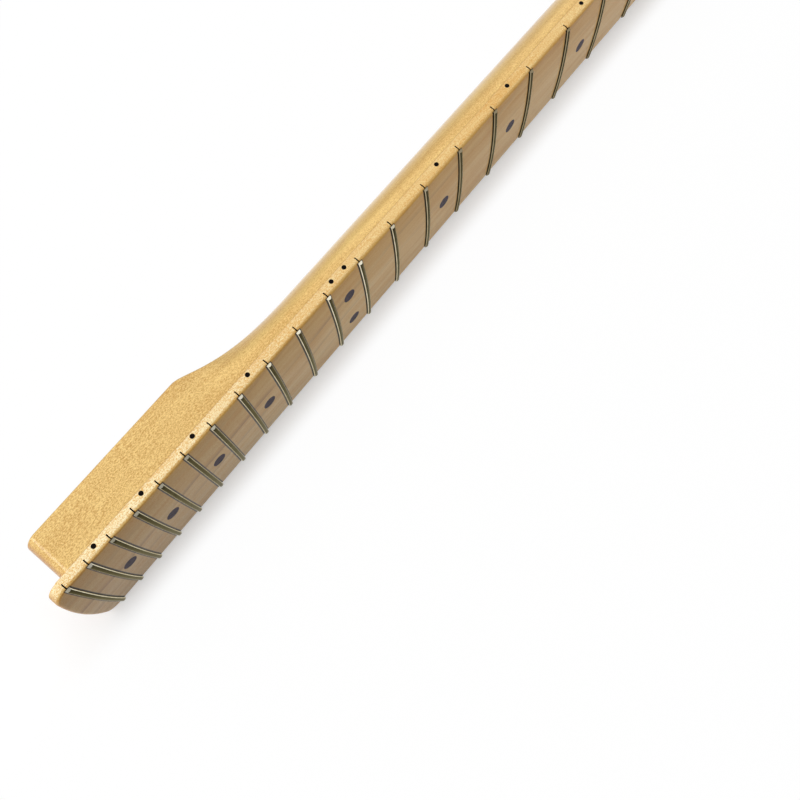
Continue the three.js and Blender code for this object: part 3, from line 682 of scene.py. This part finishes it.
def nickel_silver():
    """
    Drawn nickel silver wire, dressed with files and brought to a shine: a warm grey metal with a painted
    dark reflection on the crest and a painted dark line along the base, partly shade and partly lacquer that
    clings there, painted highlights on the rounded shoulders and the bevelled ends, fine scratches and duller
    patches.
    """
    material, add, shader = surface("polished_nickel_silver", Metallic=1.0, Specular_Tint="#ece6cf")
    coords = add("TexCoord")
    place = coords.outputs["Object"]
    x = add("SeparateXYZ", (place,)).outputs[0]
    # Scratches are 0.02 mm apart; drawn at 0.15 mm
    along = add("Mapping", {"Vector": place, "Scale": (1, 1, 0.03)})
    scratch = add("TexNoise", {"Vector": along, "Scale": 1 / 0.00015, "Detail": 2.0})
    patch = add("TexNoise", {"Vector": place, "Scale": 1 / 0.004, "Detail": 3.0, "Roughness": 0.6})
    tarnish = add("MapRange", {"Value": patch, "From Min": 0.38, "From Max": 0.68})
    # bright is the colour of the painted highlights, dull that of the painted dark reflection and shade
    bright = add("Mix", {0: tarnish, 6: "#fbf5e2", 7: "#e0d9bf"})
    dull = add("Mix", {0: tarnish, 6: "#3a3423", 7: "#231d12"})
    facing_x, _, facing_z = add("SeparateXYZ", (coords.outputs["Normal"],)).outputs
    # Crest and base keep the dull colour, painted reflection and shade; the shoulders get painted highlight
    side = add("Math", (facing_x,), operation="ABSOLUTE")
    off_crest = add("MapRange", {"Value": side, "From Min": 0.58, "From Max": 0.68}, **SMOOTH)
    off_base = add("MapRange", {"Value": side, "From Min": 0.93, "From Max": 0.97, "To Min": 1.0,
                                "To Max": 0.0}, **SMOOTH)
    # The shoulder on the heel's side gets the brighter painted highlight, but not on the last frets
    last = add("MapRange", {"Value": x, "From Min": 0.02, "From Max": 0.08, "To Min": 1.0, "To Max": 0.35})
    buffed = add("MapRange", {"Value": facing_x, "From Min": -0.2, "From Max": 0.2, "To Min": 1.0,
                              "To Max": last})
    # From about the tenth fret to the nut the highlights are yellower and darker, and weaker on the shoulders
    heel_frets = add("MapRange", {"Value": x, "From Min": 0.13, "From Max": 0.18, "To Min": 1.0, "To Max": 0.45})
    shoulder = off_crest
    for share in (off_base, buffed, heel_frets):
        shoulder = add("Math", (shoulder, share), operation="MULTIPLY")
    # The bevelled ends get a painted highlight, strongest round the twelfth fret
    past_twelfth = add("Math", (x, 0.1), operation="SUBTRACT")
    away = add("Math", (past_twelfth,), operation="ABSOLUTE")
    bevel_highlight = add("MapRange", {"Value": away, "From Min": 0.03, "From Max": 0.07, "To Min": 0.95, "To Max": 0.35})
    across = add("Math", (facing_z,), operation="ABSOLUTE")
    bevel = add("MapRange", {"Value": across, "From Min": 0.35, "From Max": 0.5, "To Max": bevel_highlight})
    painted_highlight = add("Math", (shoulder, bevel), operation="MAXIMUM")
    yellower = add("Mix", {0: heel_frets, 6: "#bfa05a", 7: bright})
    color = add("Mix", {0: painted_highlight, 6: dull, 7: yellower})
    rough = add("MapRange", {"Value": patch, "From Min": 0.3, "From Max": 0.7, "To Min": 0.06, "To Max": 0.16})
    bump = add("Bump", {"Strength": 0.35, "Distance": 0.01 * MM, "Height": scratch})
    wire(shader, {"Base Color": color, "Roughness": rough, "Normal": bump})
    return material


def sawn_slot():
    """The walls of the fret slots, painted nearly black and dull as the shade deep inside the narrow slots."""
    material, add, shader = surface("slot_wall_painted_shade", Roughness=0.9, Specular_IOR_Level=0.0)
    place = add("TexCoord").outputs["Object"]
    speckle = add("TexNoise", {"Vector": place, "Scale": 1 / 0.0003, "Detail": 2.0})
    color = add("Mix", {0: speckle, 6: "#0a0503", 7: "#20140a"})
    wire(shader, {"Base Color": color})
    return material


def dot_plastic(name, light, dark, rough):
    """
    Cast plastic rod, cut, glued in and sanded flush: an even dull tone with faint clouds and
    sanding marks that run with the neck.
    """
    material, add, shader = surface(name, Specular_IOR_Level=0.05)
    place = add("TexCoord").outputs["Object"]
    cloud = add("TexNoise", {"Vector": place, "Scale": 1 / 0.0014, "Detail": 3.0, "Roughness": 0.6})
    tone = add("MapRange", {"Value": cloud, "From Min": 0.35, "From Max": 0.65})
    color = add("Mix", {0: tone, 6: dark, 7: light})
    # Sanding marks are 0.03 mm apart; drawn at 0.12 mm
    long = add("Mapping", {"Vector": place, "Scale": (0.08, 1, 1)})
    marks = add("TexNoise", {"Vector": long, "Scale": 1 / 0.00012, "Detail": 1.0})
    dull = add("MapRange", {"Value": marks, "To Min": rough - 0.08, "To Max": rough + 0.08})
    bump = add("Bump", {"Strength": 0.3, "Distance": 0.005 * MM, "Height": marks})
    wire(shader, {"Base Color": color, "Roughness": dull, "Normal": bump})
    return material


def bone():
    """
    Bleached bone, filed and buffed: cream with slow cloudy patches, fine pores as short darker
    dashes across the neck, and a soft waxy shine.
    """
    material, add, shader = surface("buffed_bone", Specular_IOR_Level=0.5)
    place = add("TexCoord").outputs["Object"]
    cloud = add("TexNoise", {"Vector": place, "Scale": 1 / 0.005, "Detail": 3.0})
    tone = add("MapRange", {"Value": cloud, "From Min": 0.35, "From Max": 0.65})
    ground = add("Mix", {0: tone, 6: "#e2d3ae", 7: "#f2e9d0"})
    # Pores are 0.05 mm wide; drawn at 0.2 mm
    across = add("Mapping", {"Vector": place, "Scale": (1, 1, 0.12)})
    pores = add("TexNoise", {"Vector": across, "Scale": 1 / 0.0002, "Detail": 1.0})
    pore = add("MapRange", {"Value": pores, "From Min": 0.62, "From Max": 0.76, "To Max": 0.6})
    color = add("Mix", {0: pore, 6: ground, 7: "#a8895a"})
    rough = add("MapRange", {"Value": pores, "To Min": 0.28, "To Max": 0.45})
    bump = add("Bump", {"Strength": 0.4, "Distance": 0.02 * MM, "Height": pores})
    wire(shader, {"Base Color": color, "Roughness": rough, "Normal": bump})
    return material


def turned_steel():
    """
    Mild steel turned on a lathe and left bare: dark grey metal with fine grooves round the rod's
    axis, a satin shine and a little brown where it has been handled.
    """
    material, add, shader = surface("turned_steel", Metallic=1.0)
    place = add("TexCoord").outputs["Object"]
    # Tool marks are 0.1 mm apart; drawn at 0.3 mm
    grooves = add("TexWave", {"Vector": place, "Scale": 2 * math.pi / (20 * 0.0003), "Distortion": 1.0,
                              "Detail": 1.0}, wave_type="BANDS", bands_direction="X")
    cloud = add("TexNoise", {"Vector": place, "Scale": 1 / 0.003, "Detail": 4.0, "Roughness": 0.65})
    stain = add("MapRange", {"Value": cloud, "From Min": 0.5, "From Max": 0.75})
    color = add("Mix", {0: stain, 6: "#a9a8a6", 7: "#7d6f62"})
    rough = add("MapRange", {"Value": cloud, "To Min": 0.22, "To Max": 0.5})
    bump = add("Bump", {"Strength": 0.4, "Distance": 0.02 * MM, "Height": grooves.outputs["Fac"]})
    wire(shader, {"Base Color": color, "Roughness": rough, "Normal": bump})
    return material


NECK_LOG = dict(amber="#e0ddc0", pith=(0.0454, -0.0096), lean=0.05, lean_until=0.09, drift_across=0.0, ring=0.0014,
                fleck_mm=0.45)
NECK_MAPLE = maple("gloss_lacquered_maple", light="#f2ce80", dark="#c69648", pale="#fbdc9f", line="#b0752f",
                   end_grain="#b4763a", line_strength=0.8, fleck_contrast=4.2, streak_mm=6.0, seam=0.5, coat=1.0,
                   **NECK_LOG)
BOARD_MAPLE = maple("gloss_lacquered_board_maple", light="#fff0c4", dark="#e6b76a", pale="#fff0c4", amber="#ecd8ac",
                    line="#a5774a", end_grain="#b98850", pith=(0.07, 0.03), lean=0.01, lean_until=0.6,
                    drift_across=0.02, ring=0.0034, line_strength=0.55, fleck_mm=0.4, fleck_contrast=4.8,
                    streak_mm=4.0, seam=0.25, coat=0.35, deepening=0.75, fretted=True)
BORED_MAPLE = maple("bare_bored_maple", light="#e3bd7c", dark="#a87a3c", pale="#e3bd7c", line="#94602a",
                    end_grain="#94602a", line_strength=0.4, fleck_contrast=3.0, streak_mm=9.0, seam=0.0, coat=0.0,
                    **NECK_LOG)
DARK_WOOD = dark_hardwood()
NICKEL = nickel_silver()
FACE_DOT_PLASTIC = dot_plastic("violet_grey_cast_plastic", "#5f565f", "#4b444c", 0.5)
SIDE_DOT_PLASTIC = dot_plastic("black_cast_plastic", "#0e0908", "#060404", 0.55)
SLOT_WOOD = sawn_slot()
BONE = bone()
STEEL = turned_steel()


# Camera, first, as the photograph was taken

def add_camera():
    data = bpy.data.cameras.new("camera")
    camera = bpy.data.objects.new("camera", data)
    bpy.context.scene.collection.objects.link(camera)
    data.lens = 36.575
    data.sensor_width = 36
    data.clip_start = 0.01
    data.clip_end = 20
    camera.location = (0.027117, -0.135, 0.315362)
    camera.rotation_euler = tuple(math.radians(a) for a in (16.9525, 1.9448, -51.4462))
    bpy.context.scene.camera = camera


# Pieces

def stripe_tool(radius, deep):
    """A long block with round ends that covers the stripe's outline from one depth to beyond the back."""
    head_end, heel_end = STRIPE_START + STRIPE_WIDTH / 2, STRIPE_END - STRIPE_WIDTH / 2
    bm = bar(radius, spot(head_end, deep, 0), spot(head_end, BEYOND_BACK, 0), 64)
    for vert in bm.verts:
        if vert.co.x < spot(head_end, 0, 0).x - 1e-7:
            vert.co.x -= (heel_end - head_end) * MM
    return bm


def make_neck():
    """The neck and the stripe in its back, cut from the same skin so that they meet flush."""
    neck = mesh_object("maple_neck", skin(neck_rings()))
    stripe = neck.copy()
    stripe.data = neck.data.copy()
    stripe.name = "dark_stripe"
    bpy.context.scene.collection.objects.link(stripe)
    combine(stripe, stripe_tool(STRIPE_WIDTH / 2, STRIPE_FLOOR), "INTERSECT")
    combine(neck, stripe_tool(STRIPE_WIDTH / 2 + SEAM, STRIPE_FLOOR - SEAM))
    for past, across in TUNERS:
        combine(neck, bar(TUNER_HOLE, spot(-past, 0, across), spot(-past, BEYOND_BACK, across)))
    bore_end = spot(-KEY_GROOVE_END, ROD_DEPTH_AT_ENDS, 0)
    combine(neck, bar(KEY_BORE, spot(KEY_BORE_BEFORE_NUT, ROD_DEPTH_AT_ENDS, 0), bore_end))
    combine(neck, block(spot(-KEY_GROOVE_END, ROD_DEPTH_AT_ENDS, KEY_BORE), spot(-COVE_CENTRE, 0, -KEY_BORE)))
    combine(neck, bar(KEY_BORE, spot(-KEY_GROOVE_END, 0, 0), bore_end))

    def bored(corners):
        """Whether a face lies in a tuner hole, or in the bore or the groove below the headstock's face."""
        places = [(corner.x - NUT_X, corner.y + HEEL_DEPTH, corner.z) for corner in corners]
        hole = min(TUNERS, key=lambda tuner: math.dist(tuner, (places[0][0], places[0][2])))
        key_room = KEY_BORE + TOUCH
        return all(math.dist(hole, (past, across)) < TUNER_HOLE + TOUCH for past, _, across in places) or all(
            abs(across) < key_room and -KEY_BORE_BEFORE_NUT - TOUCH < past < KEY_GROOVE_END + key_room
            and HEAD_FACE - TOUCH < deep < ROD_DEPTH_AT_ENDS + key_room for past, deep, across in places)

    finished(neck, NECK_MAPLE, "neck")
    relined(neck, BORED_MAPLE, bored)
    finished(stripe, DARK_WOOD, "back_stripe")


def board_ring(stop, under_roll):
    """One cross-section of the fingerboard, round from the middle of its face over the bass side."""
    place, edge = stop[:2]
    inner = Vector(inside(stop, BOARD_ROLL, BOARD_ROLL, None, 1))
    middle = Vector((inner.x, 0))
    floor = cove_depth(-place)
    profile = []
    for share in steps(0, 1, 12):
        along, across = middle.lerp(inner, share)
        profile.append((along, across, board_drop(across)))
    for turn in steps(0, math.pi / 2, 10):
        along, across = inside(stop, BOARD_ROLL * (1 - math.sin(turn)), BOARD_ROLL, middle, 1)
        profile.append((along, across, board_drop(across) + BOARD_ROLL * (1 - math.cos(turn))))
    for share in steps(0, 1, 4):
        profile.append((place, edge, mix(board_drop(edge) + BOARD_ROLL, BOARD_THICKNESS - under_roll, share)))
    for turn in steps(math.pi / 2, 0, 4) + [0]:
        along, across = inside(stop, under_roll * (1 - math.sin(turn)), BOARD_ROLL, middle, 1)
        profile.append((along, across, BOARD_THICKNESS - under_roll * (1 - math.cos(turn))))
    bass, treble = ([spot(along, min(max(deep, floor), BOARD_THICKNESS), across * sign)
                     for along, across, deep in profile] for sign in (1, -1))
    return bass + [spot(middle.x, BOARD_THICKNESS, 0)] + treble[:0:-1]


def dots(pair, ends):
    """Fret number, shift and label of each position dot: single ones, and a pair at the twelfth fret."""
    singles = [(n, 0, f"{n:02d}") for n in SINGLE_DOTS]
    return singles + [(12, shift, f"12_{end}") for shift, end in zip((pair, -pair), ends)]


FACE_DOTS = dots(FACE_PAIR, ("bass", "treble"))
SIDE_DOTS = dots(SIDE_PAIR, ("heel", "head"))


def face_seat(n, across):
    """The middle of a face dot on the board's curved face, and the direction that faces out of it."""
    lean = across / BOARD_RADIUS
    return spot(between_frets(n), board_drop(across), across), Vector((0, -math.sqrt(1 - lean ** 2), lean))


def side_seat(n, shift):
    """A side dot's distance from the nut, its depth, and how far across the board's edge lies there."""
    place = between_frets(n) + shift
    half = half_width(place)
    return place, board_drop(half) + SIDE_DOT_BELOW_EDGE, half


def make_fingerboard():
    rings = [board_ring(stop, OVERHANG_ROLL) for stop in square_end(BOARD_REACH)]
    end = -COVE_CENTRE + math.sqrt(COVE_RADIUS ** 2 - (COVE_RADIUS + BOARD_THICKNESS - HEAD_FACE) ** 2)
    places = steps(end_corner(BOARD_REACH)[0], 0, 60) + steps(0, end, 24) + [end]
    rings += [board_ring(stop, OVERHANG_ROLL if stop[0] > HEEL_REACH else 0) for stop in straight_side(places)]
    board = mesh_object("maple_fingerboard", skin(rings))
    slots = []
    gap = TANG_THICKNESS / 2 + SEAM
    for n in range(1, FRETS + 1):
        place = fret_from_nut(n)
        half = half_width(place)
        floor = board_drop(half) + TANG_DEPTH + SEAM
        slots.append(block(spot(place + gap, floor, -half - CLEAR_ABOVE),
                           spot(place - gap, -CLEAR_ABOVE, half + CLEAR_ABOVE)))
    combine(board, joined(slots))
    combine(board, block(spot(0, NUT_BELOW, -CLEAR_BESIDE),
                         spot(-NUT_THICKNESS - SEAM, -CLEAR_ABOVE, CLEAR_BESIDE)))
    pockets = []
    for n, across, _ in FACE_DOTS:
        top, normal = face_seat(n, across)
        floor = top - normal * (FACE_DOT_DEPTH + SEAM) * MM
        pockets.append(bar(FACE_DOT + SEAM, floor, top + normal * 3 * MM, 64))
    for n, shift, _ in SIDE_DOTS:
        place, deep, half = side_seat(n, shift)
        pockets.append(bar(SIDE_DOT + SEAM, spot(place, deep, half - SIDE_DOT_DEPTH), spot(place, deep, half + 3), 32))
    combine(board, joined(pockets))

    def sawn(corners):
        """Whether a face lies in a fret slot."""
        places = [NUT_X - corner.x for corner in corners]
        fret = min((fret_from_nut(n) for n in range(1, FRETS + 1)), key=lambda line: abs(line - places[0]))
        return all(abs(place - fret) < TANG_THICKNESS / 2 + 2 * SEAM for place in places)

    finished(board, BOARD_MAPLE, "fingerboard")
    relined(board, SLOT_WOOD, sawn)


def make_dots():
    """Dots whose outer ends follow the board's curved face and its edge."""
    for n, across, label in FACE_DOTS:
        top, normal = face_seat(n, across)
        bm = bar(FACE_DOT, top - normal * FACE_DOT_DEPTH * MM, top, 64)
        for vert in bm.verts:
            if (vert.co - top).dot(normal) > -MM:
                vert.co.y = spot(0, board_drop(vert.co.z / MM), 0).y
        dot = mesh_object(f"face_dot_inlay_{label}", bm)
        finished(dot, FACE_DOT_PLASTIC, f"face_dot_{label}")
    for n, shift, label in SIDE_DOTS:
        place, deep, half = side_seat(n, shift)
        bm = bar(SIDE_DOT, spot(place, deep, half - SIDE_DOT_DEPTH + SIDE_DOT_SHORT), spot(place, deep, half), 32)
        for vert in bm.verts:
            if vert.co.z > (half - 1) * MM:
                vert.co.z = half_width(NUT_X - vert.co.x / MM) * MM
        dot = mesh_object(f"side_dot_inlay_{label}", bm)
        finished(dot, SIDE_DOT_PLASTIC, f"side_dot_{label}")


def make_frets():
    """Each fret is a crown with bevelled ends over a tang that stops short of the board's edge."""
    section = [(-CROWN_WIDTH / 2, 0), (CROWN_WIDTH / 2, 0)]
    for turn in steps(0, math.pi, 18) + [math.pi]:
        lift = CROWN_FOOT + (CROWN_HEIGHT - CROWN_FOOT) * math.sin(turn) ** CROWN_FULLNESS
        section.append((CROWN_WIDTH / 2 * math.cos(turn), lift))
    for n in range(1, FRETS + 1):
        place = fret_from_nut(n)
        half = half_width(place) - FRET_END_INSET
        rings = []
        for share in steps(-1, 1, 24) + [1]:
            ring = []
            for along, lift in section:
                across = share * (half - lift * math.tan(FRET_END_LEAN))
                ring.append(spot(place - along, board_drop(across) - lift, across))
            rings.append(ring)
        crown = skin(rings)
        ends = [edge for edge in crown.edges if edge.calc_face_angle(0) > math.radians(40)
                and all(abs(abs(v.co.z) / MM - half) < CROWN_HEIGHT for v in edge.verts)]
        bmesh.ops.bevel(crown, geom=ends, offset=FRET_END_EDGE * MM, offset_type="OFFSET", segments=2,
                        profile=0.5, affect="EDGES", material=-1)
        inner = half - TANG_INSET
        tang = block(spot(place + TANG_THICKNESS / 2, board_drop(inner) + TANG_DEPTH, -inner),
                     spot(place - TANG_THICKNESS / 2, TANG_TOP, inner))
        fret = mesh_object(f"fret_wire_{n:02d}", joined([crown, tang]))
        finished(fret, NICKEL, f"fret_{n:02d}", 40)


def make_nut():
    """The nut slopes down towards the headstock, and its string slots do so too."""
    half = half_width(0)
    rings = []
    for share in steps(-1, 1, 40) + [1]:
        across = share * half
        section = [(0, NUT_BELOW), (NUT_THICKNESS, NUT_BELOW)]
        for k in (1, 0.8, 0.6, 0.4, 0.2, 0.07, 0):
            section.append((NUT_THICKNESS * k, board_drop(across) - NUT_ABOVE * (1 - NUT_SLOPE * k * k)))
        rings.append([spot(-along, deep, across) for along, deep in section])
    nut = mesh_object("bone_nut", skin(rings))
    for i in range(STRINGS):
        across = mix(STRING_SPREAD / 2, -STRING_SPREAD / 2, i / (STRINGS - 1))
        radius = mix(THICK_STRING_SLOT, THIN_STRING_SLOT, i / (STRINGS - 1))
        top = board_drop(across) - NUT_ABOVE
        combine(nut, bar(radius, spot(2, top - 0.1, across), spot(-NUT_THICKNESS - 2, top + 0.4, across), 24))
    finished(nut, BONE, "nut")


add_camera()
make_neck()
make_fingerboard()
make_dots()
make_frets()
make_nut()
for name in ("truss_rod", "rod_anchor", "rod_washer", "adjusting_nut"):
    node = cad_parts[name]
    node.data.materials.clear()
    node.data.materials.append(STEEL)


# Studio

def lamp(name, place, target, width, height, watts, mirrored=True):
    data = bpy.data.lights.new(name, "AREA")
    data.shape = "RECTANGLE"
    data.size, data.size_y = width, height
    data.energy = watts
    light = bpy.data.objects.new(name, data)
    light.location = place
    light.rotation_euler = (Vector(place) - Vector(target)).to_track_quat("Z", "Y").to_euler()
    light.visible_camera = False
    light.visible_glossy = mirrored
    bpy.context.scene.collection.objects.link(light)


def seen(add):
    """1 for what the camera sees, straight, mirrored or through something clear, and 0 for what lights the scene."""
    path = add("LightPath").outputs
    straight = add("Math", (path["Is Camera Ray"], path["Is Glossy Ray"]), operation="MAXIMUM")
    return add("Math", (straight, path["Is Transmission Ray"]), operation="MAXIMUM")


def white_paper():
    """Matt white paper that looks overexposed to the camera and in reflections, with its shadows kept."""
    material, add, shader = surface("white_paper", Roughness=0.95, Specular_IOR_Level=0.0)
    to_camera = seen(add)
    tint = add("Mix", {0: to_camera, 6: "#b8b8b8", 7: "#fcfcfc"})
    wire(shader, {"Base Color": tint})
    glow = add("Emission", {"Color": (1, 1, 1, 1), "Strength": 1.0})
    # The neck's shadow fades out 10 mm beside it, and beyond half a metre nothing but white is left
    half_depth = 0.0136
    place = add("TexCoord").outputs["Object"]
    y = add("SeparateXYZ", (place,)).outputs[1]
    off_middle = add("Math", (y, half_depth), operation="ADD")
    beside = add("Math", (off_middle,), operation="ABSOLUTE")
    close = add("MapRange", {"Value": beside, "From Min": 0.011, "From Max": 0.0235, "To Min": 0.45,
                             "To Max": 0.97}, **SMOOTH)
    far = add("VectorMath", (place, (0.25, 0, 0)), operation="DISTANCE")
    away = add("MapRange", {"Value": far, "From Min": 0.5, "From Max": 0.9}, **SMOOTH)
    white = add("Math", (close, away), operation="MAXIMUM")
    share = add("Math", (to_camera, white), operation="MULTIPLY")
    wire(material.node_tree.nodes["Material Output"], (add("MixShader", (share, shader, glow)),))
    return material


def add_studio():
    """A wide softbox overhead, softer ones round the neck, a window and a strip for highlights, and white paper."""
    scene = bpy.context.scene
    scene.view_settings.view_transform = "Standard"
    lamp("overhead_softbox", (0.15, 0.45, 1.6), (0.15, 0, 0), 2.0, 2.0, 27.8, mirrored=False)
    lamp("back_softbox", (0.15, 1.9, 0.4), (0.15, 0, 0), 1.4, 1.0, 11, mirrored=False)
    lamp("heel_softbox", (-1.5, 0.1, 0.5), (0.0, 0, 0), 0.8, 0.8, 11.2, mirrored=False)
    lamp("heel_window", (-1.0, 0.6, 0.95), (0.0, 0, 0), 0.4, 0.4, 1.4)
    lamp("front_softbox", (0.9, -0.9, 0.2), (0.3, 0, 0), 0.5, 0.5, 2, mirrored=False)
    lamp("head_strip", (1.6, 0.9, 0.5), (0.5, 0, 0), 0.15, 0.8, 2)
    world = bpy.data.worlds.new("white_room")
    scene.world = world
    world.use_nodes = True
    add = partial(add_node, world.node_tree)
    level = add("MapRange", {"Value": seen(add), "To Min": 0.12, "To Max": 1.0})
    wire(world.node_tree.nodes["Background"], ((1, 1, 1, 1), level))
    bm = bmesh.new()
    bmesh.ops.create_grid(bm, x_segments=1, y_segments=1, size=3, matrix=Matrix.Translation((0, 0, CAD_BOX[0][2])))
    floor = mesh_object("floor", bm)
    floor.data.materials.append(white_paper())


add_studio()
